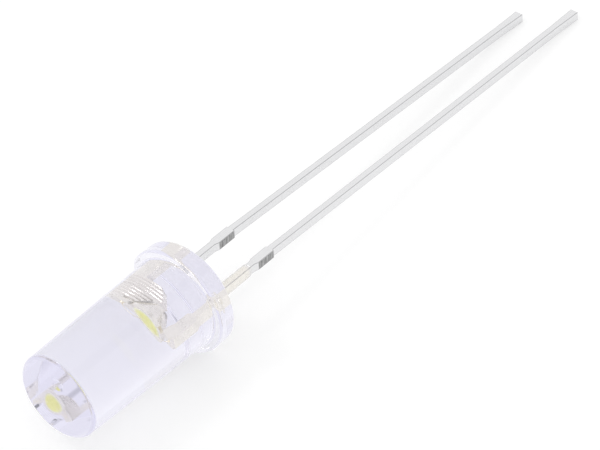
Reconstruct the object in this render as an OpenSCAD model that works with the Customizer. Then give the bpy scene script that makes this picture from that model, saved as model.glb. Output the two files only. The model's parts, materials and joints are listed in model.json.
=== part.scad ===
// Through hole LED with a clear, flat-fronted 5 mm body, modelled standing on its leads and then
// laid down. Standing, the seating plane is z = 0, the flat front looks up +Z, the cathode is on
// the -X side and the anode on the +X side. All sizes are in millimetres.

/* [Clear body] */
// Height of the flat front above the seating plane
body_h = 9.7; // [7:0.1:12]
// Diameter where the body meets the flange
base_d = 5.02; // [4.8:0.02:6.2]
// How much narrower the body is at its front, for release from the mould
draft = 0.34; // [0.1:0.02:0.6]
// Rounding of the front rim
front_rim_r = 0.2; // [0.1:0.02:0.5]
// Diameter of the shallow round mark in the flat front
mark_d = 0.74; // [0.4:0.02:1]
// Depth of that mark
mark_depth = 0.07; // [0.03:0.01:0.12]
// Distance of the mark from the axis, towards the upper face of the sheet
mark_offset = 0.9; // [0:0.02:1.2]
// Distance of the mark from the axis, towards the anode side
mark_shift = 0.12; // [0:0.02:0.8]

/* [Flange] */
// Thickness of the flange
flange_t = 1.05; // [0.7:0.05:1.6]
// How far the flange stands out past the body
flange_out = 0.44; // [0.3:0.01:0.8]
// How far the flat on the cathode side stands out past the body
flat_out = 0.06; // [0.03:0.01:0.25]
// Rounding of the flange's two edges
flange_edge_r = 0.16; // [0.08:0.01:0.3]
// Fillet where the body rises from the flange
flange_fillet_r = 0.12; // [0.05:0.01:0.3]

/* [Leads] */
// Thickness of the sheet that both leads are stamped from
sheet_t = 0.48; // [0.4:0.01:0.6]
// Width of a lead
lead_w = 0.35; // [0.3:0.01:0.5]
// Distance between the two leads
pitch = 2.54; // [2.3:0.01:3.1]
// Length of the cathode lead below the seating plane
cathode_len = 27.9; // [16:0.1:34]
// How much longer the anode lead is
anode_extra = 1.85; // [1:0.05:3]
// How far the tips are bent down out of the sheet's plane
lead_droop = 0.88; // [0:0.02:1.6]
// How far each tip leans in towards the other
lead_toe = 0.16; // [0:0.01:0.5]
// Length of the slightly splayed end that the cutting tool leaves
splay_len = 1.8; // [1:0.1:3]
// How much that end is splayed on each side
splay = 0.05; // [0.01:0.01:0.1]
// Chamfer round a cut end
tip_chamfer = 0.1; // [0.04:0.01:0.14]

/* [Tie bar stubs] */
// Distance of the stubs from the seating plane
stub_from = 3.5; // [2.5:0.05:6]
// Length of a stub along the lead
stub_len = 1.17; // [0.8:0.01:1.6]
// How far a stub stands out on each side of the lead
stub_out = 0.08; // [0.05:0.01:0.3]
// Length of the flare that leads into a stub
stub_flare = 0.22; // [0.1:0.02:0.5]

/* [Resin round the leads] */
// Thickness of the resin that has climbed the anode lead
climb_t = 0.07; // [0.04:0.01:0.12]
// Distance left bare between that resin and the stub
climb_gap = 0.3; // [0.25:0.05:1]
// Corner cut of that resin
climb_corner = 0.05; // [0.02:0.01:0.08]
// Height of the small meniscus round the cathode lead
meniscus_h = 0.3; // [0.15:0.05:0.5]
// Reach of the meniscus out from the lead
meniscus_out = 0.14; // [0.05:0.01:0.2]

/* [Posts inside the body] */
// Height of the lead frame's top above the seating plane
frame_top = 3.55; // [3.2:0.05:4.6]
// Height at which the leads widen into their posts
root_h = 1.57; // [1.2:0.01:1.9]
// Width of the cathode post, from its lead's outer edge
cathode_post_w = 1.3; // [1.1:0.02:1.34]
// Width of the slope that cuts the cathode post's lower inner corner
heel_w = 0.4; // [0.2:0.02:0.6]
// Height of that slope
heel_h = 0.62; // [0.3:0.02:0.7]
// How far the anode post stands out past its lead
anode_step = 0.18; // [0.05:0.01:0.4]
// Width of the anode post
anode_post_w = 0.7; // [0.54:0.02:0.72]
// Rise of the slopes from the anode's lead to its post
root_slope = 0.2; // [0.1:0.02:0.3]
// Width of the anode's bonding flag
flag_w = 0.8; // [0.74:0.02:0.84]
// Height of the flag
flag_h = 0.8; // [0.5:0.05:1.2]
// Rise of the slope under the flag
flag_slope = 0.3; // [0.1:0.02:0.4]
// Corner cut of the posts' tops
post_corner = 0.1; // [0.05:0.01:0.2]

/* [Grip ribs] */
// Number of grooves coined across the cathode post
groove_count = 8; // [3:1:8]
// Distance from one groove to the next
groove_pitch = 0.205; // [0.16:0.005:0.22]
// Depth of a groove
groove_depth = 0.06; // [0.03:0.01:0.08]
// Width of a groove
groove_w = 0.12; // [0.08:0.01:0.14]
// Distance of the first groove below the lead frame's top
groove_from_top = 0.41; // [0.3:0.01:0.5]
// How much further in the grooves beside the cup's head end for each unit of depth
groove_slant = 0.6; // [0.6:0.02:0.9]

/* [Cup, chip and phosphor] */
// Distance of the cup from the body's axis, towards the cathode side
cup_shift = 0.1; // [0:0.02:0.16]
// Diameter of the reflector cup's mouth
cup_d = 1.16; // [1:0.02:1.24]
// Diameter of the cup's floor
cup_floor_d = 0.66; // [0.56:0.02:0.8]
// Depth of the cup
cup_depth = 0.42; // [0.3:0.02:0.5]
// Thickness of the cup's rim
cup_wall = 0.14; // [0.1:0.01:0.16]
// Metal under the cup's floor
cup_base_t = 0.62; // [0.5:0.02:0.7]
// Height of the straight band round the head's top
cup_band = 0.2; // [0.1:0.02:0.3]
// How far the foot of the cup's head stands out past each face of the sheet
cup_foot_out = 0.02; // [0.01:0.01:0.06]
// Side of the square chip
chip_w = 0.32; // [0.28:0.02:0.36]
// Thickness of the chip
chip_t = 0.12; // [0.08:0.01:0.16]
// Thickness of the glue under the chip
glue_t = 0.03; // [0.02:0.01:0.05]
// Diameter of that glue
glue_d = 0.48; // [0.42:0.02:0.54]
// Height of the phosphor's dome above the cup's rim
phosphor_dome = 0.1; // [0.05:0.01:0.2]

/* [Bond wires] */
// Diameter of a bond wire
wire_d = 0.03; // [0.025:0.005:0.05]
// Diameter of the flattened ball at each end of a wire
ball_d = 0.1; // [0.08:0.01:0.12]
// Height of a ball
ball_h = 0.05; // [0.04:0.01:0.08]
// Distance between the chip's two pads
pad_gap = 0.18; // [0.14:0.01:0.2]
// Height of a wire's loop above the line between its ends
loop_h = 0.36; // [0.25:0.01:0.5]
// Distance of the cathode wire's landing from the cup's head
land_gap = 0.25; // [0.1:0.01:0.5]

/* [Hidden] */
$fn = 64;
over = 0.1;  // how far a cut or a joint runs past its face

base_r = base_d / 2;
front_r = (base_d - draft) / 2;
flange_r = base_r + flange_out;
flat_x = base_r + flat_out;
anode_len = cathode_len + anode_extra;
bend_z = -(stub_from + stub_len);
head_d = cup_d + 2 * cup_wall;
head_h = cup_depth + cup_base_t;
head_foot_z = frame_top - head_h;
head_foot_r = sheet_t / 2 + cup_foot_out;
cup_floor_z = frame_top - cup_depth;
chip_top_z = cup_floor_z + glue_t + chip_t;
lead_out = (pitch + lead_w) / 2;
post_in = lead_out - cathode_post_w;
anode_out = lead_out + anode_step;
flag_in = anode_out - flag_w;
cathode_land_x = -(cup_shift + head_d / 2 + land_gap);
anode_land_x = (anode_out + flag_in) / 2;

// Points along an arc of a circle, from angle a0 to angle a1.
function arc(centre, r, a0, a1, n = 8) =
    [for (i = [0:n]) centre + r * [cos(a0 + (a1 - a0) * i / n), sin(a0 + (a1 - a0) * i / n)]];

// How far along the bent part of a lead of length len the height z lies, from 0 to 1.
function bent(z, len) = z > bend_z ? 0 : (bend_z - z) / (len + bend_z);

// A lead's edge on one side: half widths at heights, down the lead, about a centre line at x.
function lead_edge(x, side, len) =
    let (half = lead_w / 2, inward = x > 0 ? -1 : 1)
    [for (s = [[-stub_from + stub_flare, half],
               [-stub_from, half + stub_out],
               [bend_z, half + stub_out],
               [bend_z, half],
               [-len + splay_len, half],
               [-len + tip_chamfer, half + splay],
               [-len, half + splay - tip_chamfer]])
        [x + side * s[1] + inward * lead_toe * bent(s[0], len), s[0]]];

function reversed(points) = [for (i = [len(points) - 1:-1:0]) points[i]];

// Slope of the surface that the part lies on, seen in the lying body: down along the leads, and
// across them, because the longer anode lead lifts its own side.
slope_ratio = anode_extra / (pitch - 2 * lead_toe);
tip_corner = [cathode_len, pitch / 2 - lead_toe + lead_w / 2, sheet_t / 2 + lead_droop];
rim_r = flange_r - flange_edge_r;
function along_slope(b, rounds) =
    rounds == 0 ? b
    : let (c = slope_ratio * b)
      along_slope((rim_r * sqrt(1 + c * c) + flange_edge_r * sqrt(1 + b * b + c * c) - tip_corner[2])
                  / (tip_corner[0] + tip_corner[1] * slope_ratio + flange_edge_r), rounds - 1);
slope_along = along_slope(0.05, 12);
slope_across = slope_ratio * slope_along;
lying_roll = -atan(slope_across);
lying_pitch = atan(slope_along / sqrt(1 + slope_across * slope_across));

// Lays the standing part down: leads along +X and a little downhill, cathode on the +Y side. It
// rests on the flange's rim and on the tips of both leads.
module lying() {
    rotate([0, lying_pitch, 0]) rotate([lying_roll, 0, 0]) rotate([90, 0, -90]) children();
}

// Half section of the clear body: flange, drafted wall and rounded front rim.
module body_section() {
    r = flange_edge_r;
    fillet = flange_fillet_r;
    wall_lean = atan((base_r - front_r) / (body_h - flange_t));
    polygon(concat(
        [[0, 0]],
        arc([flange_r - r, r], r, -90, 0),
        arc([flange_r - r, flange_t - r], r, 0, 90),
        arc([base_r + fillet, flange_t + fillet], fillet, 270, 180 - wall_lean),
        arc([front_r - front_rim_r, body_h - front_rim_r], front_rim_r, wall_lean, 90),
        [[0, body_h]]));
}

module flange_flat() {
    translate([-flat_x - flange_out, -flange_r, -over])
        cube([flange_out, 2 * flange_r, flange_t + flange_fillet_r + 2 * over]);
}

// Dish left in the flat front, a cap of a large sphere.
module front_mark() {
    ball_r = (mark_d * mark_d / 4 + mark_depth * mark_depth) / (2 * mark_depth);
    translate([mark_shift, mark_offset, body_h - mark_depth + ball_r]) sphere(r = ball_r);
}

// Resin that has climbed the anode lead, thinner towards the stub.
module climbed_resin() {
    w = lead_w + 2 * climb_t;
    t = sheet_t + 2 * climb_t;
    h = stub_from - stub_flare - climb_gap;
    translate([pitch / 2, 0, -h]) intersection() {
        linear_extrude(height = h + over) square([w, t], center = true);
        linear_extrude(height = h + over) rotate(45)
            square((w + t - 2 * climb_corner) / sqrt(2), center = true);
    }
}

module meniscus(x) {
    r = norm([lead_w / 2, sheet_t / 2]);
    translate([x, 0, -meniscus_h]) cylinder(h = meniscus_h + over, r1 = r, r2 = r + meniscus_out);
}

// Slab in the sheet's plane that droops below the bend, seen from the side.
module sheet_side(len) {
    t = sheet_t / 2;
    c = tip_chamfer;
    width = 2 * (anode_out + 1);
    rotate([90, 0, 90]) translate([0, 0, -width / 2]) linear_extrude(height = width)
        polygon([[t, frame_top + 1], [t, bend_z],
                 [t - lead_droop, -len + c], [t - lead_droop - c, -len],
                 [-t - lead_droop + c, -len], [-t - lead_droop, -len + c],
                 [-t, bend_z], [-t, frame_top + 1]]);
}

// Presses a flat outline out of the drooping sheet.
module stamped(len) {
    reach = sheet_t + lead_droop;
    intersection() {
        rotate([90, 0, 0]) translate([0, 0, -reach]) linear_extrude(height = 2 * reach + 1) children();
        sheet_side(len);
    }
}

module cathode_outline() {
    x = -pitch / 2;
    polygon(concat(
        [[post_corner - lead_out, frame_top], [-post_in, frame_top], [-post_in, root_h + heel_h],
         [-post_in - heel_w, root_h], [x + lead_w / 2, root_h]],
        lead_edge(x, 1, cathode_len),
        reversed(lead_edge(x, -1, cathode_len)),
        [[-lead_out, frame_top - post_corner]]));
}

module anode_outline() {
    x = pitch / 2;
    c = post_corner;
    anode_in = anode_out - anode_post_w;
    polygon(concat(
        [[flag_in + c, frame_top], [anode_out - c, frame_top], [anode_out, frame_top - c],
         [anode_out, root_h + root_slope], [x + lead_w / 2, root_h]],
        lead_edge(x, 1, anode_len),
        reversed(lead_edge(x, -1, anode_len)),
        [[x - lead_w / 2, root_h], [anode_in, root_h + root_slope], [anode_in, frame_top - flag_h],
         [flag_in, frame_top - flag_h + flag_slope], [flag_in, frame_top - c]]));
}

// Where the groove whose upper edge lies at height z ends: beside the cup's head it stops short of
// it, and below the head it runs through the post's inner edge.
function groove_end(z) =
    z < head_foot_z ? over - post_in : -cup_shift - head_foot_r - groove_slant * (z - head_foot_z);

// Triangular grooves across both faces of the cathode post.
module grip_grooves() {
    for (i = [0:groove_count - 1], face = [-1, 1]) {
        z = frame_top - groove_from_top - i * groove_pitch;
        translate([-lead_out - over, face * sheet_t / 2, z]) rotate([90, 0, 90])
            linear_extrude(height = lead_out + over + groove_end(z + groove_w / 2))
                polygon([[-face * groove_depth, 0], [0, groove_w / 2], [face * over, groove_w / 2],
                         [face * over, -groove_w / 2], [0, -groove_w / 2]]);
    }
}

// Upset head at the post's inner edge, wide enough to hold the cup.
module cup_head() {
    translate([-cup_shift, 0, head_foot_z]) {
        cylinder(h = head_h - cup_band, r1 = head_foot_r, d2 = head_d);
        translate([0, 0, head_h - cup_band]) cylinder(h = cup_band, d = head_d);
    }
}

module cup() {
    translate([-cup_shift, 0, cup_floor_z])
        rotate_extrude() polygon([[0, 0], [cup_floor_d / 2, 0], [cup_d / 2, cup_depth], [0, cup_depth]]);
}

// Dome of phosphor over the cup's mouth, a cap of a sphere.
module dome() {
    half = cup_d / 2;
    ball_r = (half * half + phosphor_dome * phosphor_dome) / (2 * phosphor_dome);
    translate([-cup_shift, 0, frame_top]) intersection() {
        translate([0, 0, phosphor_dome - ball_r]) sphere(r = ball_r);
        cylinder(h = phosphor_dome + over, r = half);
    }
}

// Wire from a pad on the chip, from, to a landing on the lead frame, to, as one arc in the XZ
// plane between the middles of its two balls. Each point is [x, z].
module bond_wire(from, to) {
    chord = to - from;
    span = norm(chord);
    arc_r = (span * span / 4 + loop_h * loop_h) / (2 * loop_h);
    half_angle = asin(span / 2 / arc_r);
    turn = loop_h > span / 2 ? 180 - half_angle : half_angle;
    middle = (from + to) / 2 + [0, ball_h / 2];
    up = [-chord[1], chord[0]] / span * sign(chord[0]);
    centre = middle + up * (loop_h - arc_r);
    aim = atan2(up[1], up[0]);
    translate([from[0], 0, from[1]]) cylinder(h = ball_h, d = ball_d);
    translate([to[0], 0, to[1]]) cylinder(h = ball_h, d = ball_d);
    translate([centre[0], 0, centre[1]]) rotate([90, 0, 0]) rotate([0, 0, aim - turn])
        rotate_extrude(angle = 2 * turn) translate([arc_r, 0]) circle(d = wire_d, $fn = 24);
}

module cathode_stamping() {
    difference() {
        union() {
            stamped(cathode_len) cathode_outline();
            cup_head();
        }
        cup();
        grip_grooves();
    }
}

module anode_stamping() {
    stamped(anode_len) anode_outline();
}

module cathode_bond() {
    bond_wire([-cup_shift - pad_gap / 2, chip_top_z], [cathode_land_x, frame_top]);
}

module anode_bond() {
    bond_wire([pad_gap / 2 - cup_shift, chip_top_z], [anode_land_x, frame_top]);
}

module clear_body() {
    color([0.9, 0.9, 0.98, 0.45]) lying() difference() {
        union() {
            difference() {
                rotate_extrude() body_section();
                flange_flat();
            }
            climbed_resin();
            meniscus(-pitch / 2);
        }
        front_mark();
        cathode_stamping();
        anode_stamping();
        cup();
        dome();
        cathode_bond();
        anode_bond();
    }
}

module cathode_lead() {
    color([0.82, 0.82, 0.84]) lying() cathode_stamping();
}

module anode_lead() {
    color([0.82, 0.82, 0.84]) lying() anode_stamping();
}

module chip_block() {
    translate([-cup_shift - chip_w / 2, -chip_w / 2, cup_floor_z + glue_t]) cube([chip_w, chip_w, chip_t]);
}

module glue_layer() {
    translate([-cup_shift, 0, cup_floor_z]) cylinder(h = glue_t, d = glue_d);
}

module led_chip() {
    color([0.75, 0.8, 0.9]) lying() chip_block();
}

module chip_glue() {
    color([0.9, 0.9, 0.85]) lying() glue_layer();
}

module phosphor_fill() {
    color([0.9, 0.88, 0.35]) lying() difference() {
        union() {
            cup();
            dome();
        }
        chip_block();
        glue_layer();
        cathode_bond();
        anode_bond();
    }
}

module cathode_wire() {
    color([0.85, 0.68, 0.3]) lying() cathode_bond();
}

module anode_wire() {
    color([0.85, 0.68, 0.3]) lying() anode_bond();
}

clear_body();
cathode_lead();
anode_lead();
led_chip();
chip_glue();
phosphor_fill();
cathode_wire();
anode_wire();
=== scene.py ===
import json
import logging
import math
from dataclasses import dataclass
from enum import Enum

import bmesh
import bpy
from mathutils import Matrix, Vector


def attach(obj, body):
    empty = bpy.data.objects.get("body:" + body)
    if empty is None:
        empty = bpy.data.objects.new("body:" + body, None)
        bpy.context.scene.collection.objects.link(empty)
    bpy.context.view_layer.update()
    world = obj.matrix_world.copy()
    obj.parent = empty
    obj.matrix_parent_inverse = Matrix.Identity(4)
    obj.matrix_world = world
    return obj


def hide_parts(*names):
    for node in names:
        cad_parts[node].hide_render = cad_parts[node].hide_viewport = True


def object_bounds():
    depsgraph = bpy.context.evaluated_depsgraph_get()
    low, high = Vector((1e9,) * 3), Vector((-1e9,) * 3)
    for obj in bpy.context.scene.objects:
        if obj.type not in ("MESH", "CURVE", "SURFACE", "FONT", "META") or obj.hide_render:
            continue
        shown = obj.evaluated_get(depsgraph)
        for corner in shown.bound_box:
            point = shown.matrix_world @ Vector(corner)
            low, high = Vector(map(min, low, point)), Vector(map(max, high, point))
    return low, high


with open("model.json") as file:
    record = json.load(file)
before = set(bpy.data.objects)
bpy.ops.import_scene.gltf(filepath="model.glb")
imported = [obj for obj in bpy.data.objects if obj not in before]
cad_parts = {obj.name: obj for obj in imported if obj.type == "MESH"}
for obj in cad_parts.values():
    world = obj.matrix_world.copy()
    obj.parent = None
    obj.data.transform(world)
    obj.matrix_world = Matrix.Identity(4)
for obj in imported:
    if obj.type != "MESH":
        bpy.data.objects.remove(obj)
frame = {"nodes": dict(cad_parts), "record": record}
CAD_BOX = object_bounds()

log = logging.getLogger("through_hole_led")

RGBA = tuple[float, float, float, float]
Point2 = tuple[float, float]
Span = tuple[float, float]

# Sizes below are in millimetres of the standing part unless they say otherwise.
MM = 0.001
CUP_MOUTH = (-0.1, 0.0, 3.55)
WHITE: RGBA = (1.0, 1.0, 1.0, 1.0)


class LeadSide(Enum):
    """The two leads: piece, CAD node, mount at the exit, and how far down the resin covers it."""

    CATHODE = ("CathodeLead", "cathode_lead", "cathode_terminal", 0.1)
    ANODE = ("AnodeLead", "anode_lead", "anode_terminal", 3.0)

    @property
    def piece(self) -> str:
        """Name of the lead's visual piece."""
        return self.value[0]

    @property
    def node(self) -> str:
        """Name of the lead's CAD node."""
        return self.value[1]

    @property
    def mount(self) -> str:
        """Name of the lead's mount."""
        return self.value[2]

    @property
    def resin_end(self) -> float:
        """How far below the flange the resin covers the lead."""
        return self.value[3]


class SheetFinish(Enum):
    """The finishes on a stamped lead; each value is its material slot on the mesh."""

    PLATED = 0
    BARE = 1
    # Darker plating on the broken edges: partly wear, partly a painted dark line for their
    # reflection.
    WORN_AND_SHADED = 2
    COINED = 3


@dataclass(frozen=True)
class Placement:
    """How the standing part lies: standing millimetres to metres in the row's frame.

    Standing, the seating plane is z = 0, the flat front looks up +Z and the anode is at +X.
    """

    matrix: Matrix

    @classmethod
    def from_record(cls, record: dict) -> "Placement":
        """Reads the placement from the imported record's mounts.

        Args:
            record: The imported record.

        Returns:
            The placement of the lying part.
        """
        mounts = {m["name"]: m for m in record["mounts"]}
        seat = mounts["seating"]
        up = -Vector(seat["axis"]).normalized()
        anode, cathode = (
            Vector(mounts[side.mount]["pos_m"]) for side in (LeadSide.ANODE, LeadSide.CATHODE)
        )
        across = anode - cathode
        across = (across - up * across.dot(up)).normalized()
        turn = Matrix((across, up.cross(across), up)).transposed()
        shift = Matrix.Translation(Vector(seat["pos_m"]))
        return cls(shift @ turn.to_4x4() @ Matrix.Scale(MM, 4))

    def point(self, x: float, y: float, z: float) -> Vector:
        """A standing point, in millimetres, as a place in the row's frame."""
        return self.matrix @ Vector((x, y, z))

    def direction(self, x: float, y: float, z: float) -> Vector:
        """A standing direction as a unit vector in the row's frame."""
        return (self.matrix.to_3x3() @ Vector((x, y, z))).normalized()


class Nodes:
    """Adds shader nodes to a tree and links them."""

    MIX_FACTOR, MIX_A, MIX_B, MIX_COLOUR = 0, 6, 7, 2

    def __init__(self, tree: bpy.types.NodeTree) -> None:
        """Keeps the tree and clears it."""
        self.tree = tree
        tree.nodes.clear()

    def add(self, kind: str, inputs: dict | None = None, **settings: object) -> bpy.types.Node:
        """Adds a node, sets its properties and fills its inputs.

        Args:
            kind: Blender's identifier of the node type.
            inputs: Socket name or index to a value or to another node's output.
            **settings: Properties of the node.

        Returns:
            The new node.
        """
        node = self.tree.nodes.new(kind)
        for name, value in settings.items():
            setattr(node, name, value)
        for name, value in (inputs or {}).items():
            if isinstance(value, bpy.types.NodeSocket):
                self.tree.links.new(value, node.inputs[name])
            else:
                node.inputs[name].default_value = value
        return node

    def blend(self, factor: object, a: object, b: object) -> bpy.types.NodeSocket:
        """Mixes two colours or sockets, from a at factor 0 to b at factor 1."""
        inputs = {self.MIX_FACTOR: factor, self.MIX_A: a, self.MIX_B: b}
        return self.add("ShaderNodeMix", inputs, data_type="RGBA").outputs[self.MIX_COLOUR]

    def ramp(
        self, value: object, span: Span, start: float = 0.0, end: float = 1.0
    ) -> bpy.types.NodeSocket:
        """A smooth rise from start to end while a value goes through a span.

        Args:
            value: Socket that is read.
            span: Where the rise starts and where it ends.
            start: Output up to the span.
            end: Output beyond the span.

        Returns:
            The value output.
        """
        limits = {"From Min": span[0], "From Max": span[1], "To Min": start, "To Max": end}
        node = self.add(
            "ShaderNodeMapRange", {"Value": value, **limits}, interpolation_type="SMOOTHSTEP"
        )
        return node.outputs[0]

    def maths(self, operation: str, a: object, b: object) -> bpy.types.NodeSocket:
        """The result of a Math node on two values or sockets."""
        return self.add("ShaderNodeMath", {0: a, 1: b}, operation=operation).outputs[0]

    def along(self, coordinates: bpy.types.NodeSocket, axis: Vector) -> bpy.types.NodeSocket:
        """How far a point lies along a unit vector from the origin."""
        inputs = {0: coordinates, 1: tuple(axis)}
        return self.add("ShaderNodeVectorMath", inputs, operation="DOT_PRODUCT").outputs["Value"]

    def place(self) -> bpy.types.NodeSocket:
        """The shaded point in the row's frame, in metres."""
        return self.add("ShaderNodeTexCoord").outputs["Object"]

    def bump(self, height: bpy.types.NodeSocket) -> bpy.types.NodeSocket:
        """The normal of a surface raised by a height in metres."""
        inputs = {"Height": height, "Strength": 1.0, "Distance": 1.0}
        return self.add("ShaderNodeBump", inputs).outputs[0]

    def shade(self, inputs: dict, inside: bpy.types.NodeSocket | None = None) -> None:
        """Adds the Principled shader and the material's output.

        Args:
            inputs: The shader's inputs.
            inside: Volume shader of a clear material.
        """
        ends = {"Surface": self.add("ShaderNodeBsdfPrincipled", inputs).outputs[0]}
        if inside is not None:
            ends["Volume"] = inside
        self.add("ShaderNodeOutputMaterial", ends)


def fine_grain() -> bpy.types.NodeTree:
    """Builds the shared node group of a fine uneven grain over broad patches, once.

    Returns:
        A group with Coordinates, Scale and Depth in, and Level and Height out.
    """
    name = "fine_grain"
    if name in bpy.data.node_groups:
        return bpy.data.node_groups[name]
    fine_detail, fine_share = 5.0, 0.6
    broad_detail, broad_share, broad_scale = 2.0, 0.4, 0.17
    group = bpy.data.node_groups.new(name, "ShaderNodeTree")
    nodes = Nodes(group)
    sockets = group.interface
    sockets.new_socket(name="Coordinates", in_out="INPUT", socket_type="NodeSocketVector")
    for label in ("Scale", "Depth"):
        sockets.new_socket(name=label, in_out="INPUT", socket_type="NodeSocketFloat")
    for label in ("Level", "Height"):
        sockets.new_socket(name=label, in_out="OUTPUT", socket_type="NodeSocketFloat")
    given = nodes.add("NodeGroupInput").outputs
    wide = nodes.maths("MULTIPLY", given["Scale"], broad_scale)
    parts = []
    for scale, detail, share in (
        (given["Scale"], fine_detail, fine_share),
        (wide, broad_detail, broad_share),
    ):
        inputs = {"Vector": given["Coordinates"], "Scale": scale, "Detail": detail}
        noise = nodes.add("ShaderNodeTexNoise", inputs)
        parts.append(nodes.maths("MULTIPLY", noise.outputs[0], share))
    level = nodes.maths("ADD", *parts)
    height = nodes.maths("MULTIPLY", level, given["Depth"])
    nodes.add("NodeGroupOutput", {"Level": level, "Height": height})
    return group


@dataclass(frozen=True)
class Grain:
    """One use of the fine grain: grains per metre, and height of the grain in metres."""

    per_metre: float
    depth_m: float

    def place_in(
        self, nodes: Nodes, coordinates: bpy.types.NodeSocket
    ) -> bpy.types.bpy_prop_collection:
        """Places the grain at a point in a material and gives the group's Level and Height."""
        inputs = {"Coordinates": coordinates, "Scale": self.per_metre, "Depth": self.depth_m}
        return nodes.add("ShaderNodeGroup", inputs, node_tree=fine_grain()).outputs


def new_material(name: str) -> tuple[bpy.types.Material, Nodes]:
    """Makes an empty node material.

    Args:
        name: Name of the material.

    Returns:
        The material and its nodes.
    """
    material = bpy.data.materials.new(name)
    material.use_nodes = True
    return material, Nodes(material.node_tree)


@dataclass(frozen=True)
class ClearEpoxy:
    """Cast clear epoxy with a faint violet cast that deepens along the path of the light."""

    ior: float = 1.5
    tint: RGBA = (0.70, 0.68, 0.86, 1.0)
    density: float = 70.0
    film: RGBA = (0.948, 0.945, 0.985, 1.0)
    cut_depth: float = 1.5
    ripple: Grain = Grain(650.0, 0.9e-6)
    rough_over: Span = (0.3, 0.8)
    low_rough: float = 0.004
    high_rough: float = 0.02

    def build(self) -> bpy.types.Material:
        """Makes the material.

        Returns:
            The clear epoxy.
        """
        material, nodes = new_material("clear_epoxy")
        ripple = self.ripple.place_in(nodes, nodes.place())
        absorbed = {"Color": self.tint, "Density": self.density}
        haze = nodes.add("ShaderNodeVolumeAbsorption", absorbed)
        # From its second glossy bounce on, a ray passes the skin; otherwise the ends of long
        # inner reflections turn black.
        bounces = nodes.add("ShaderNodeLightPath").outputs["Glossy Depth"]
        nodes.shade(
            {
                "Base Color": self.film,
                "Alpha": nodes.maths("LESS_THAN", bounces, self.cut_depth),
                "Roughness": nodes.ramp(
                    ripple["Level"], self.rough_over, self.low_rough, self.high_rough
                ),
                "IOR": self.ior,
                "Transmission Weight": 1.0,
                "Normal": nodes.bump(ripple["Height"]),
            },
            inside=haze.outputs[0],
        )
        return material


@dataclass(frozen=True)
class SilverPlate:
    """Bright silver plating on the stamped sheet, a little warm where the resin covers it."""

    name: str
    down_the_leads: Vector
    resin_end: float
    plate: RGBA = (0.80, 0.80, 0.81, 1.0)
    warm: RGBA = (0.95, 0.92, 0.83, 1.0)
    streak: RGBA = (0.6, 0.6, 0.61, 1.0)
    streak_share: float = 0.08
    streak_over: Span = (0.25, 0.8)
    fade_before: float = 0.3
    fade_beyond: float = 0.1
    grain: Grain = Grain(5200.0, 0.15e-6)
    rough_over: Span = (0.3, 0.75)
    low_rough: float = 0.14
    high_rough: float = 0.34

    def build(self) -> bpy.types.Material:
        """Makes the material.

        Returns:
            The plating.
        """
        material, nodes = new_material(self.name)
        point = nodes.place()
        fade = ((self.resin_end - self.fade_before) * MM, (self.resin_end + self.fade_beyond) * MM)
        bare = nodes.ramp(nodes.along(point, self.down_the_leads), fade)
        grain = self.grain.place_in(nodes, point)
        streaks = nodes.ramp(grain["Level"], self.streak_over, 0.0, self.streak_share)
        nodes.shade(
            {
                "Base Color": nodes.blend(
                    streaks, nodes.blend(bare, self.warm, self.plate), self.streak
                ),
                "Metallic": 1.0,
                "Roughness": nodes.ramp(
                    grain["Level"], self.rough_over, self.low_rough, self.high_rough
                ),
                "Normal": nodes.bump(grain["Height"]),
            }
        )
        return material


@dataclass(frozen=True)
class ShearedSteel:
    """Dark bare steel with shear marks, where the tie bars and the lead ends were cut."""

    down_the_leads: Vector
    dark: RGBA = (0.20, 0.20, 0.20, 1.0)
    light: RGBA = (0.60, 0.60, 0.60, 1.0)
    light_over: Span = (0.38, 0.66)
    marks_per_metre: float = 9000.0
    mark_detail: float = 3.0
    mark_share: float = 0.7
    grain: Grain = Grain(7000.0, 2.0e-6)
    grain_share: float = 0.3
    depth_m: float = 6.0e-6
    rough_over: Span = (0.3, 0.7)
    low_rough: float = 0.3
    high_rough: float = 0.5

    def build(self) -> bpy.types.Material:
        """Makes the material.

        Returns:
            The bare steel.
        """
        material, nodes = new_material("sheared_steel")
        point = nodes.place()
        down = nodes.add("ShaderNodeCombineXYZ", {0: nodes.along(point, self.down_the_leads)})
        scale, detail = self.marks_per_metre, self.mark_detail
        noise = {"Vector": down.outputs[0], "Scale": scale, "Detail": detail}
        marks = nodes.add("ShaderNodeTexNoise", noise)
        grain = self.grain.place_in(nodes, point)
        level = nodes.maths(
            "ADD",
            nodes.maths("MULTIPLY", marks.outputs[0], self.mark_share),
            nodes.maths("MULTIPLY", grain["Level"], self.grain_share),
        )
        lightness = nodes.ramp(level, self.light_over)
        nodes.shade(
            {
                "Base Color": nodes.blend(lightness, self.dark, self.light),
                "Metallic": 1.0,
                "Roughness": nodes.ramp(level, self.rough_over, self.low_rough, self.high_rough),
                "Normal": nodes.bump(nodes.maths("MULTIPLY", level, self.depth_m)),
            }
        )
        return material


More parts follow.
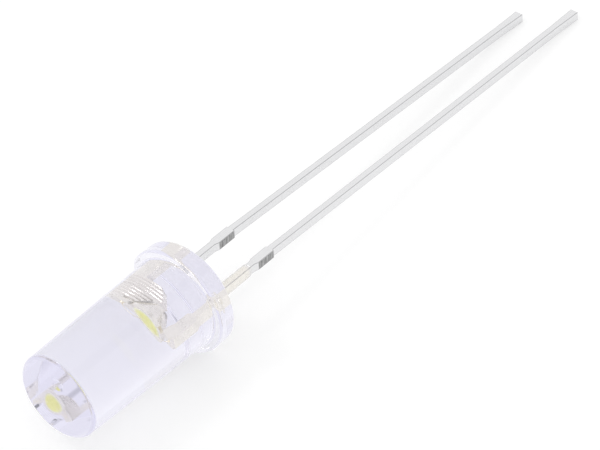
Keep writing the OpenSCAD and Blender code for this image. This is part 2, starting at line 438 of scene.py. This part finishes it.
@dataclass(frozen=True)
class PhosphorGel:
    """Yellow phosphor stirred into the clear gel that fills the cup, thinner towards its rim."""

    middle: Vector
    pale: RGBA = (1.0, 1.0, 0.38, 1.0)
    deep: RGBA = (0.98, 0.98, 0.27, 1.0)
    thin: RGBA = (1.0, 1.0, 0.86, 1.0)
    thick_to: float = 0.40
    thin_from: float = 0.62
    stir: Grain = Grain(14000.0, 3.0e-6)
    stir_over: Span = (0.3, 0.7)
    low_rough: float = 0.3
    high_rough: float = 0.5
    coat_ior: float = 1.8
    coat_rough: float = 0.12
    # Glow: partly the phosphor's own fluorescence, partly painted light.
    glow_and_painted_light: float = 0.22

    def build(self) -> bpy.types.Material:
        """Makes the material.

        Returns:
            The phosphor.
        """
        material, nodes = new_material("phosphor_gel")
        point = nodes.place()
        stir = self.stir.place_in(nodes, point)
        stirred = nodes.blend(nodes.ramp(stir["Level"], self.stir_over), self.pale, self.deep)
        apart = {0: point, 1: tuple(self.middle)}
        out = nodes.add("ShaderNodeVectorMath", apart, operation="DISTANCE").outputs["Value"]
        thinning = nodes.ramp(out, (self.thick_to * MM, self.thin_from * MM))
        colour = nodes.blend(thinning, stirred, self.thin)
        nodes.shade(
            {
                "Base Color": colour,
                "Roughness": nodes.ramp(
                    stir["Level"], self.stir_over, self.low_rough, self.high_rough
                ),
                "Coat Weight": 1.0,
                "Coat IOR": self.coat_ior,
                "Coat Roughness": self.coat_rough,
                # The glow is partly fluorescence and partly painted light that makes up for light
                # the gel misses through the resin.
                "Emission Color": colour,
                "Emission Strength": self.glow_and_painted_light,
                "Normal": nodes.bump(stir["Height"]),
            }
        )
        return material


@dataclass(frozen=True)
class SmallPart:
    """Finish of a tiny part in the cup or of a wire: two near colours, a grain and a sheen."""

    name: str
    pale: RGBA
    deep: RGBA
    metallic: float
    low_rough: float
    high_rough: float
    grain: Grain = Grain(20000.0, 1.0e-6)
    grain_over: Span = (0.3, 0.7)

    def build(self) -> bpy.types.Material:
        """Makes the material.

        Returns:
            The small part's finish.
        """
        material, nodes = new_material(self.name)
        grain = self.grain.place_in(nodes, nodes.place())
        level = grain["Level"]
        nodes.shade(
            {
                "Base Color": nodes.blend(nodes.ramp(level, self.grain_over), self.pale, self.deep),
                "Metallic": self.metallic,
                "Roughness": nodes.ramp(level, self.grain_over, self.low_rough, self.high_rough),
                "Normal": nodes.bump(grain["Height"]),
            }
        )
        return material


@dataclass(frozen=True)
class TablePaper:
    """Pale paper floor that shows white and keeps a soft shadow."""

    paper: RGBA = (0.52, 0.52, 0.52, 1.0)
    lift: float = 0.51
    rough: float = 0.9

    def build(self) -> bpy.types.Material:
        """Makes the material.

        Returns:
            The paper.
        """
        material, nodes = new_material("table_paper")
        path = nodes.add("ShaderNodeLightPath").outputs
        mirrored = nodes.maths("MAXIMUM", path["Is Glossy Ray"], path["Is Transmission Ray"])
        seen = nodes.maths("MAXIMUM", path["Is Camera Ray"], mirrored)
        nodes.shade(
            {
                "Base Color": self.paper,
                "Roughness": self.rough,
                "Specular IOR Level": 0.0,
                "Emission Color": WHITE,
                "Emission Strength": nodes.maths("MULTIPLY", seen, self.lift),
            }
        )
        return material


def arc(centre: Point2, radius: float, start: float, end: float, steps: int) -> list[Point2]:
    """Points along a circle's arc.

    Args:
        centre: Centre of the circle.
        radius: Its radius.
        start: First angle in degrees.
        end: Last angle in degrees.
        steps: Number of equal steps.

    Returns:
        The points, both ends included.
    """
    angles = [math.radians(start + (end - start) * i / steps) for i in range(steps + 1)]
    return [(centre[0] + radius * math.cos(a), centre[1] + radius * math.sin(a)) for a in angles]


def rounded_box(
    centre_x: float, half_x: float, half_y: float, radius: float, steps: int
) -> list[Point2]:
    """Outline of a rectangle with rounded corners, anticlockwise.

    Args:
        centre_x: Middle of the rectangle along X; it lies on the X axis.
        half_x: Half width along X.
        half_y: Half width along Y.
        radius: Radius of the corners.
        steps: Steps round each corner.

    Returns:
        The outline's points.
    """
    points: list[Point2] = []
    for start, sx, sy in ((0, 1, 1), (90, -1, 1), (180, -1, -1), (270, 1, -1)):
        centre = (centre_x + sx * (half_x - radius), sy * (half_y - radius))
        points += arc(centre, radius, start, start + 90, steps)
    return points


def add_ring(mesh: bmesh.types.BMesh, points: list[Point2], z: float) -> list[bmesh.types.BMVert]:
    """Adds one closed ring of vertices at a height."""
    return [mesh.verts.new((x, y, z)) for x, y in points]


def bridge(mesh: bmesh.types.BMesh, rings: list[list[bmesh.types.BMVert]]) -> None:
    """Joins each ring to the next with quads.

    Args:
        mesh: The mesh of the rings.
        rings: Rings of equal length.
    """
    for a, b in zip(rings, rings[1:]):
        for i in range(len(a)):
            j = (i + 1) % len(a)
            mesh.faces.new((a[i], a[j], b[j], b[i]))


def ring_edges(mesh: bmesh.types.BMesh, ring: list[bmesh.types.BMVert]) -> list[bmesh.types.BMEdge]:
    """The edges of a ring, made where they don't exist yet."""
    pairs = [(ring[i], ring[i - 1]) for i in range(len(ring))]
    return [mesh.edges.get(pair) or mesh.edges.new(pair) for pair in pairs]


def finish_mesh(
    mesh: bmesh.types.BMesh,
    name: str,
    placement: Placement,
    sharp_deg: float,
    broad: float = math.inf,
) -> bpy.types.Object:
    """Turns a standing mesh in millimetres into a placed, smooth shaded object.

    Args:
        mesh: The mesh, which is freed.
        name: Name of the new object.
        placement: How the part lies.
        sharp_deg: Edges that turn more than this stay sharp.
        broad: Faces of this many square millimetres or more are shaded flat.

    Returns:
        The new object, linked to the scene.
    """
    mesh.transform(placement.matrix)
    data = bpy.data.meshes.new(name)
    mesh.to_mesh(data)
    mesh.free()
    for face in data.polygons:
        face.use_smooth = face.area < broad * MM * MM
    data.set_sharp_from_angle(angle=math.radians(sharp_deg))
    made = bpy.data.objects.new(name, data)
    bpy.context.scene.collection.objects.link(made)
    return made


@dataclass(frozen=True)
class ResinRing:
    """One outline of the resin round a lead: depth below the flange, thickness, corner radius."""

    depth: float
    thick: float
    corner: float


@dataclass
class ClearBody:
    """The cast clear body: flange with its flat, drafted wall, flat front, and resin on the leads.

    Only the outer skin is made. The leads and the cup stand inside it, wetted by the resin.
    Extra rings a hold away from an edge keep its shading tight.
    """

    placement: Placement
    height: float = 9.7
    base_d: float = 5.02
    draft: float = 0.34
    rim_r: float = 0.2
    flange_t: float = 1.05
    flange_out: float = 0.44
    flat_out: float = 0.06
    edge_r: float = 0.16
    root_r: float = 0.12
    mark_d: float = 0.74
    mark_depth: float = 0.07
    mark_at: Point2 = (0.12, 0.9)
    lead_x: float = 1.27
    lead_w: float = 0.35
    sheet_t: float = 0.48
    climb_t: float = 0.07
    climb_len: float = 2.98
    climb_corner: float = 0.085
    swells: tuple[float, ...] = (0.072, 0.069, 0.074, 0.068, 0.064, 0.066, 0.06)
    foot_out: float = 0.1
    foot_len: float = 0.4
    foot_fall: float = 2.4
    foot_corner: float = 0.09
    foot_rounding: float = 0.05
    tail_len: float = 0.22
    tail_t: float = 0.06
    tail_corner: float = 0.02
    tail_rounding: float = 0.06
    meniscus_h: float = 0.3
    meniscus_out: float = 0.14
    meniscus_fall: float = 2.2
    meniscus_corner: float = 0.02
    meniscus_rounding: float = 0.1
    rounding_fall: float = 1.5
    sunk: float = 0.006
    columns: int = 288
    edge_steps: int = 8
    rim_steps: int = 12
    resin_steps: int = 8
    tail_steps: int = 6
    corner_steps: int = 6
    mark_columns: int = 40
    mark_rings: int = 5
    hold: float = 0.02
    weld: float = 1e-5
    sharp_deg: float = 32.0

    def _profile(self) -> list[Point2]:
        """Runs down the outer skin, from the flange's back to the front's edge.

        Returns:
            Radius and height of each ring.
        """
        base, front = self.base_d / 2, (self.base_d - self.draft) / 2
        flange, e, f = base + self.flange_out, self.edge_r, self.root_r
        top, hold, steps = self.flange_t, self.hold, self.edge_steps
        lean = math.degrees(math.atan((base - front) / (self.height - top)))
        slope = math.tan(math.radians(lean))
        rim_x, rim_z = front - self.rim_r, self.height - self.rim_r

        points = arc((flange - e, e), e, -90, 0, steps)
        points += [(flange, e + hold), (flange, top - e - hold)]
        points += arc((flange - e, top - e), e, 0, 90, steps)
        points += [(flange - e - hold, top), (base + f + hold, top)]
        points += arc((base + f, top + f), f, 270, 180 - lean, steps)
        low, high = points[-1], (rim_x + self.rim_r * math.cos(math.radians(lean)), rim_z)
        points += [(low[0] - slope * hold, low[1] + hold), (high[0] + slope * hold, high[1] - hold)]
        points += arc((rim_x, rim_z), self.rim_r, lean, 90, self.rim_steps)
        points.append((rim_x - hold, self.height))
        return points

    def _skin_ring(self, radius: float, inset: float = 0.0) -> list[Point2]:
        """One ring of the skin, cut straight along the flat where it stands out past it.

        Args:
            radius: Radius of the ring.
            inset: How far inside the flat the ring is cut.

        Returns:
            The ring's points.
        """
        flat = self.base_d / 2 + self.flat_out - inset
        ring = []
        for i in range(self.columns):
            a = 2 * math.pi * (i + 0.5) / self.columns
            reach = min(radius, -flat / math.cos(a)) if math.cos(a) < 0 else radius
            ring.append((reach * math.cos(a), reach * math.sin(a)))
        return ring

    def _resin_up(
        self, mesh: bmesh.types.BMesh, x: float, levels: list[ResinRing]
    ) -> list[bmesh.types.BMVert]:
        """Lofts resin round a lead from the flange's back to where it runs out.

        Args:
            mesh: The mesh that gets the skin.
            x: Centre of the lead.
            levels: Outlines of the resin, from the flange down.

        Returns:
            The first ring, which lies in the flange's back.
        """
        first = levels[0]
        held = ResinRing(first.depth, first.thick + self.hold, first.corner + self.hold)
        rings = []
        for level in (held, *levels):
            half_x, half_y = self.lead_w / 2 + level.thick, self.sheet_t / 2 + level.thick
            outline = rounded_box(x, half_x, half_y, level.corner, self.corner_steps)
            rings.append(add_ring(mesh, outline, -level.depth))
        bridge(mesh, rings)
        mesh.faces.new(rings[-1])
        return rings[0]

    def _anode_levels(self) -> list[ResinRing]:
        """Shapes the climbed resin down the anode lead, with a foot and a soft end.

        Returns:
            The resin's outlines, from the flange down.
        """
        levels = []
        for i in range(self.resin_steps + 1):
            s = i / self.resin_steps
            thick = self.climb_t + self.foot_out * (1 - s) ** self.foot_fall
            corner = self.foot_corner + self.foot_rounding * (1 - s)
            levels.append(ResinRing(self.foot_len * s, thick, corner))
        start, end = self.foot_len, self.climb_len - self.tail_len
        for i, thick in enumerate(self.swells):
            depth = start + (end - start) * (i + 1) / len(self.swells)
            levels.append(ResinRing(depth, thick, self.climb_corner))
        for i in range(1, self.tail_steps + 1):
            a = math.radians(90 * i / self.tail_steps)
            thick = self.tail_t * math.cos(a) - self.sunk * (i == self.tail_steps)
            corner = self.tail_corner + self.tail_rounding * math.cos(a)
            levels.append(ResinRing(end + self.tail_len * math.sin(a), thick, corner))
        return levels

    def _cathode_levels(self) -> list[ResinRing]:
        """Shapes the small meniscus round the cathode lead.

        Returns:
            The resin's outlines, from the flange down.
        """
        levels = []
        for i in range(self.resin_steps + 1):
            s = i / self.resin_steps
            thick = self.meniscus_out * (1 - s) ** self.meniscus_fall - self.sunk * (s == 1)
            rounding = self.meniscus_rounding * (1 - s) ** self.rounding_fall
            levels.append(ResinRing(self.meniscus_h * s, thick, self.meniscus_corner + rounding))
        return levels

    def _front(self, mesh: bmesh.types.BMesh, rim: list[bmesh.types.BMVert]) -> None:
        """Fills the flat front round the shallow round mark, and makes the mark's dish.

        Args:
            mesh: The mesh that gets the front.
            rim: The skin's last ring, at the front's edge.
        """
        steps, rings = self.mark_columns, self.mark_rings
        middle_x, middle_y = self.mark_at
        half = self.mark_d / 2
        ball = (half * half + self.mark_depth ** 2) / (2 * self.mark_depth)
        widest = math.asin(half / ball)
        dish = []
        for k in range(-1, rings):
            lean = widest * min(rings - k, rings) / rings
            radius = ball * math.sin(lean) + self.hold * (k < 0)
            deep = ball * (math.cos(lean) - math.cos(widest))
            angles = [2 * math.pi * i / steps for i in range(steps)]
            outline = [
                (middle_x + radius * math.cos(a), middle_y + radius * math.sin(a)) for a in angles
            ]
            dish.append(add_ring(mesh, outline, self.height - deep))
        bridge(mesh, dish)
        bottom = mesh.verts.new((middle_x, middle_y, self.height - self.mark_depth))
        for i in range(steps):
            mesh.faces.new((dish[-1][i], dish[-1][(i + 1) % steps], bottom))
        edges = ring_edges(mesh, rim) + ring_edges(mesh, dish[0])
        bmesh.ops.triangle_fill(mesh, edges=edges, use_beauty=True, normal=(0, 0, 1))

    def build(self, epoxy: bpy.types.Material) -> bpy.types.Object:
        """Makes the body and puts it in place of its CAD node.

        Args:
            epoxy: The clear epoxy.

        Returns:
            The body.
        """
        mesh = bmesh.new()
        profile = self._profile()
        rings = [add_ring(mesh, self._skin_ring(profile[0][0] - self.hold, self.hold), 0.0)]
        rings += [add_ring(mesh, self._skin_ring(r), z) for r, z in profile]
        bridge(mesh, rings)
        anode = self._resin_up(mesh, self.lead_x, self._anode_levels())
        cathode = self._resin_up(mesh, -self.lead_x, self._cathode_levels())
        edges = [e for ring in (rings[0], anode, cathode) for e in ring_edges(mesh, ring)]
        bmesh.ops.triangle_fill(mesh, edges=edges, use_beauty=True, normal=(0, 0, -1))
        self._front(mesh, rings[-1])
        # Along the flat, rings of one height share their points.
        bmesh.ops.remove_doubles(mesh, verts=mesh.verts, dist=self.weld)
        bmesh.ops.recalc_face_normals(mesh, faces=mesh.faces)
        made = finish_mesh(mesh, "ClearBody", self.placement, self.sharp_deg)
        made.data.materials.append(epoxy)
        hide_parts("clear_body")
        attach(made, "root")
        return made


@dataclass
class StampedLead:
    """One stamped lead with its post: the CAD shape with its edges broken and its cuts bare."""

    placement: Placement
    side: LeadSide
    outer_break: float = 0.028
    break_from: float = 0.1
    break_over_deg: float = 50.0
    break_steps: int = 2
    break_round: float = 0.6
    shortest_in_breaks: float = 2.2
    stub_from: float = 3.5
    stub_len: float = 1.17
    stub_facing: float = 0.9
    ribs_top: float = 3.3
    ribs_foot: float = 1.6
    rib_slope: float = 0.6
    near: float = 0.001
    weld: float = 1e-4
    even_deg: float = 0.6
    sharp_deg: float = 30.0
    broad: float = 0.12

    def build(
        self, finishes: list[bpy.types.Material], nodes: dict[str, bpy.types.Object]
    ) -> bpy.types.Object:
        """Makes the lead and puts it in place of its CAD node.

        Args:
            finishes: One material for each SheetFinish, in their order.
            nodes: The frame's CAD objects by name.

        Returns:
            The lead.
        """
        mesh = bmesh.new()
        mesh.from_mesh(nodes[self.side.node].data)
        mesh.transform(self.placement.matrix.inverted())
        bmesh.ops.remove_doubles(mesh, verts=mesh.verts, dist=self.weld)
        even = math.radians(self.even_deg)
        bmesh.ops.dissolve_limit(mesh, angle_limit=even, verts=mesh.verts, edges=mesh.edges)
        bottom = min(v.co.z for v in mesh.verts)
        for face in mesh.faces:
            face.material_index = self._finish_of(face, bottom).value
        self._break_edges(mesh)
        made = finish_mesh(mesh, self.side.piece, self.placement, self.sharp_deg, self.broad)
        for finish in finishes:
            made.data.materials.append(finish)
        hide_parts(self.side.node)
        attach(made, "root")
        return made

    def _break_edges(self, mesh: bmesh.types.BMesh) -> None:
        """Rounds the long edges outside the body, plated darker as wear and a painted dark edge
        line.

        Args:
            mesh: The standing lead, in millimetres.
        """
        bmesh.ops.bisect_plane(
            mesh,
            geom=[*mesh.verts, *mesh.edges, *mesh.faces],
            plane_co=(0, 0, -self.break_from),
            plane_no=(0, 0, 1),
        )
        edges = [
            e
            for e in mesh.edges
            if len(e.link_faces) == 2
            and e.calc_face_angle(0.0) > math.radians(self.break_over_deg)
            and e.calc_length() > self.shortest_in_breaks * self.outer_break
            and max(v.co.z for v in e.verts) < self.near - self.break_from
        ]
        bmesh.ops.bevel(
            mesh,
            geom=edges,
            offset=self.outer_break,
            offset_type="OFFSET",
            segments=self.break_steps,
            profile=self.break_round,
            affect="EDGES",
            clamp_overlap=False,
            # Painted shade: the darker edge plating draws the dark line the rounded edges reflect,
            # besides some wear.
            material=SheetFinish.WORN_AND_SHADED.value,
        )

    def _finish_of(self, face: bmesh.types.BMFace, bottom: float) -> SheetFinish:
        """Picks a face's finish: bare where it was cut, coined in the grip grooves, else plated.

        Args:
            face: A face of the standing lead, in millimetres.
            bottom: Height of the lead's cut end.

        Returns:
            The finish.
        """
        centre, way = face.calc_center_median(), face.normal
        by_stub = -(self.stub_from + self.stub_len) < centre.z < -self.stub_from
        if (by_stub and abs(way.x) > self.stub_facing) or centre.z < bottom + self.near:
            return SheetFinish.BARE
        by_ribs = self.ribs_foot < centre.z < self.ribs_top
        if by_ribs and min(abs(way.y), abs(way.z)) > self.rib_slope:
            return SheetFinish.COINED
        return SheetFinish.PLATED


@dataclass
class EmitterParts:
    """The parts in and over the cup, kept as the CAD made them and dressed."""

    finishes: dict[str, bpy.types.Material]

    def build(self, nodes: dict[str, bpy.types.Object]) -> list[bpy.types.Object]:
        """Dresses the chip, its glue, the phosphor and the two wires.

        Args:
            nodes: The frame's CAD objects by name.

        Returns:
            The dressed objects.
        """
        for name, material in self.finishes.items():
            piece = nodes[name]
            piece.data.materials.clear()
            piece.data.materials.append(material)
        return [nodes[name] for name in self.finishes]


@dataclass(frozen=True)
class DimCard:
    """A round dim card in the light tent, which the clear body shows as a bluish patch.

    Its direction is in the standing part's axes; it is full up to inner and gone beyond outer.
    """

    towards: tuple[float, float, float] = (0.35, 0.82, -0.45)
    inner_deg: float = 9.0
    outer_deg: float = 12.5
    depth: float = 0.35


@dataclass
class Studio:
    """Pale paper floor, an even light tent with one dim card, and one small weak lamp.

    The floor and the lamp are in metres in the row's frame.
    """

    placement: Placement
    tent: float = 1.0
    card: DimCard = DimCard()
    lamp_watts: float = 0.08
    lamp_across: float = 0.06
    lamp_at: tuple[float, float, float] = (-0.12, 0.16, 0.3)
    floor_half: float = 1.2

    def build(self, low: Vector, paper: bpy.types.Material) -> None:
        """Makes the floor, the tent and the lamp.

        Args:
            low: Lowest corner of the whole object.
            paper: The floor's material.
        """
        self._floor(low.z, paper)
        self._tent()
        self._lamp()

    def _floor(self, z: float, paper: bpy.types.Material) -> None:
        """Lays the floor just under the object.

        Args:
            z: Height of the floor.
            paper: Its material.
        """
        data = bpy.data.meshes.new("floor")
        h = self.floor_half
        data.from_pydata([(-h, -h, z), (h, -h, z), (h, h, z), (-h, h, z)], [], [(0, 1, 2, 3)])
        data.materials.append(paper)
        floor = bpy.data.objects.new("floor", data)
        bpy.context.scene.collection.objects.link(floor)

    def _tent(self) -> None:
        """White light from all round, less at the dim card, and plain white behind the part."""
        world = bpy.data.worlds.new("light_tent")
        world.use_nodes = True
        nodes = Nodes(world.node_tree)
        way = nodes.add("ShaderNodeTexCoord").outputs["Generated"]
        path = nodes.add("ShaderNodeLightPath").outputs
        near = nodes.along(way, self.placement.direction(*self.card.towards))
        edge = tuple(math.cos(math.radians(a)) for a in (self.card.outer_deg, self.card.inner_deg))
        dimmed = nodes.ramp(near, edge, 1.0, 1.0 - self.card.depth)
        level = nodes.maths("MULTIPLY", self.tent, dimmed)
        strength = nodes.maths("MAXIMUM", path["Is Camera Ray"], level)
        light = nodes.add("ShaderNodeBackground", {"Strength": strength, "Color": WHITE})
        nodes.add("ShaderNodeOutputWorld", {"Surface": light.outputs[0]})
        bpy.context.scene.world = world

    def _lamp(self) -> None:
        """Hangs the lamp above the part, ahead of its front and to its cathode side."""
        data = bpy.data.lights.new("soft_lamp", "AREA")
        data.shape, data.size = "DISK", self.lamp_across
        data.energy = self.lamp_watts
        lamp = bpy.data.objects.new("soft_lamp", data)
        lamp.location = self.lamp_at
        lamp.rotation_euler = (-lamp.location).to_track_quat("-Z", "Y").to_euler()
        bpy.context.scene.collection.objects.link(lamp)


@dataclass
class Viewpoint:
    """The camera, set by directions in the standing part's own axes."""

    placement: Placement
    right: tuple[float, float, float] = (0.76869, -0.04736, -0.63786)
    up: tuple[float, float, float] = (-0.38361, 0.76386, -0.519)
    back: tuple[float, float, float] = (0.51182, 0.64364, 0.569)
    aim: tuple[float, float, float] = (2.92821, 2.23203, -5.15871)
    distance: float = 243.0
    lens: float = 297.667
    sensor: float = 36.0
    clip_m: Span = (0.01, 10.0)

    def build(self) -> bpy.types.Object:
        """Makes the camera and sets it as the scene's.

        Returns:
            The camera.
        """
        data = bpy.data.cameras.new("camera")
        data.lens, data.sensor_width = self.lens, self.sensor
        data.clip_start, data.clip_end = self.clip_m
        camera = bpy.data.objects.new("camera", data)
        axes = [self.placement.direction(*a) for a in (self.right, self.up, self.back)]
        place = self.placement.point(*self.aim) + axes[2] * self.distance * MM
        camera.matrix_world = Matrix.Translation(place) @ Matrix(axes).transposed().to_4x4()
        bpy.context.scene.collection.objects.link(camera)
        bpy.context.scene.camera = camera
        return camera


def lead_plating(side: LeadSide, down: Vector) -> tuple[bpy.types.Material, bpy.types.Material]:
    """Makes a lead's plating, whole on its faces and darker on its broken edges (wear and painted
    shade).

    Args:
        side: The lead.
        down: Direction down the leads.

    Returns:
        The whole plating and the darker edge plating.
    """
    whole = SilverPlate(f"{side.node}_plate", down, side.resin_end)
    worn_and_shaded = SilverPlate(
        f"{side.node}_edges",
        down,
        side.resin_end,
        # Darker edge colours: partly wear, partly painted shade that draws the dark line along the
        # rounded edges.
        plate=(0.48, 0.48, 0.49, 1.0),
        warm=(0.66, 0.64, 0.60, 1.0),
    )
    return whole.build(), worn_and_shaded.build()


def emitter_finishes(placement: Placement) -> dict[str, bpy.types.Material]:
    """Makes the finishes of the parts in and over the cup.

    Args:
        placement: How the part lies.

    Returns:
        The materials by CAD node.
    """
    gold = SmallPart(
        "gold_wire",
        pale=(0.98, 0.93, 0.80, 1.0),
        deep=(0.94, 0.88, 0.74, 1.0),
        metallic=1.0,
        low_rough=0.15,
        high_rough=0.3,
    ).build()
    crystal = SmallPart(
        "chip_crystal",
        pale=(0.66, 0.74, 0.86, 1.0),
        deep=(0.56, 0.64, 0.78, 1.0),
        metallic=0.0,
        low_rough=0.1,
        high_rough=0.2,
    ).build()
    glue = SmallPart(
        "die_glue",
        pale=(0.88, 0.88, 0.84, 1.0),
        deep=(0.78, 0.78, 0.74, 1.0),
        metallic=0.0,
        low_rough=0.3,
        high_rough=0.45,
    ).build()
    return {
        "led_chip": crystal,
        "chip_glue": glue,
        "phosphor_fill": PhosphorGel(placement.point(*CUP_MOUTH)).build(),
        "cathode_wire": gold,
        "anode_wire": gold,
    }


def main() -> None:
    """Builds the dressed part, the studio and the camera, and reports each piece."""
    logging.basicConfig(level=logging.INFO, format="%(name)s: %(message)s")
    placement = Placement.from_record(frame["record"])
    down = placement.direction(0, 0, -1)
    nodes = frame["nodes"]

    log.info("built %s", ClearBody(placement).build(ClearEpoxy().build()).name)
    bare = ShearedSteel(down).build()
    coined = SilverPlate("coined_grooves", down, 0.0, warm=(0.90, 0.86, 0.78, 1.0)).build()
    for side in LeadSide:
        plate, worn_and_shaded = lead_plating(side, down)
        lead = StampedLead(placement, side).build([plate, bare, worn_and_shaded, coined], nodes)
        log.info("built %s", lead.name)
    for piece in EmitterParts(emitter_finishes(placement)).build(nodes):
        log.info("dressed %s", piece.name)

    Studio(placement).build(CAD_BOX[0], TablePaper().build())
    log.info("aimed %s", Viewpoint(placement).build().name)
    bpy.context.scene.view_settings.view_transform = "Standard"


if __name__ == "__main__":
    main()
